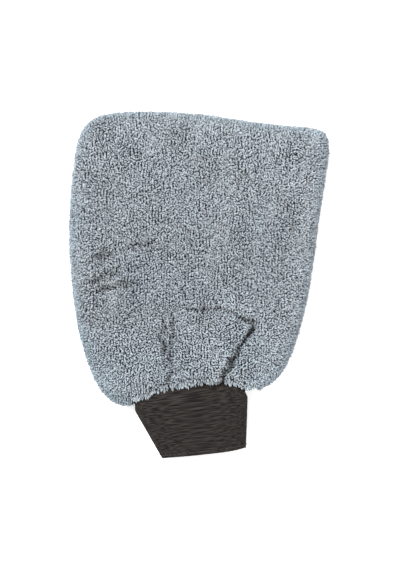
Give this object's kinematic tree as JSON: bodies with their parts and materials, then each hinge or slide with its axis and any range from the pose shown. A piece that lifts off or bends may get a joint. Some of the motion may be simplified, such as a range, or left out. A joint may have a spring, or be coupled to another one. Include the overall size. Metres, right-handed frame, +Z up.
{
  "type": "car wash mitt",
  "caption": "Soft hand-shaped wash mitt: a padded pile-fabric bag lying flat, closed round the fingertips, with a tapered dark elastic cuff at the wrist opening.",
  "frame": {"origin": "under the middle of the whole mitt, on the surface that its back panel lies on", "axes": "+Y from the cuff towards the fingertips, the longest extent; +X across the hand towards the straighter side edge; +Z up from the back panel through the front panel, the shortest extent"},
  "size_m": [0.2006, 0.2696, 0.034],
  "materials": {
    "pile": "short microfibre pile, matt with soft highlights on the tufts",
    "foam": "open-cell padding, matt",
    "lining": "plain woven, slight sheen",
    "body_thread": "twisted polyester thread",
    "cuff_thread": "twisted polyester thread",
    "cuff_elastic": "ribbed woven elastic, matt",
    "elastic_rubber": "bare latex strand"
  },
  "bodies": {
    "mitt": {"front_pile_panel": "pile", "back_pile_panel": "pile", "front_foam_sheet": "foam", "back_foam_sheet": "foam", "front_lining": "lining", "back_lining": "lining", "side_seam_thread": "body_thread", "lining_seam_thread": "body_thread", "wrist_seam_thread": "cuff_thread"},
    "cuff": {"cuff_outer_weave": "cuff_elastic", "cuff_inner_weave": "cuff_elastic", "cuff_rubber_cores": "elastic_rubber", "cuff_side_seam_thread": "cuff_thread", "cuff_hem_topstitch": "cuff_thread"}
  },
  "joints": [
    {"name": "cuff_fold", "type": "hinge", "parent": "mitt", "child": "cuff", "pos_m": [-0.00696, -0.0873, 0.015], "axis": [0.9925, 0.1219, 0], "range_deg": [-50, 30]}
  ]
}
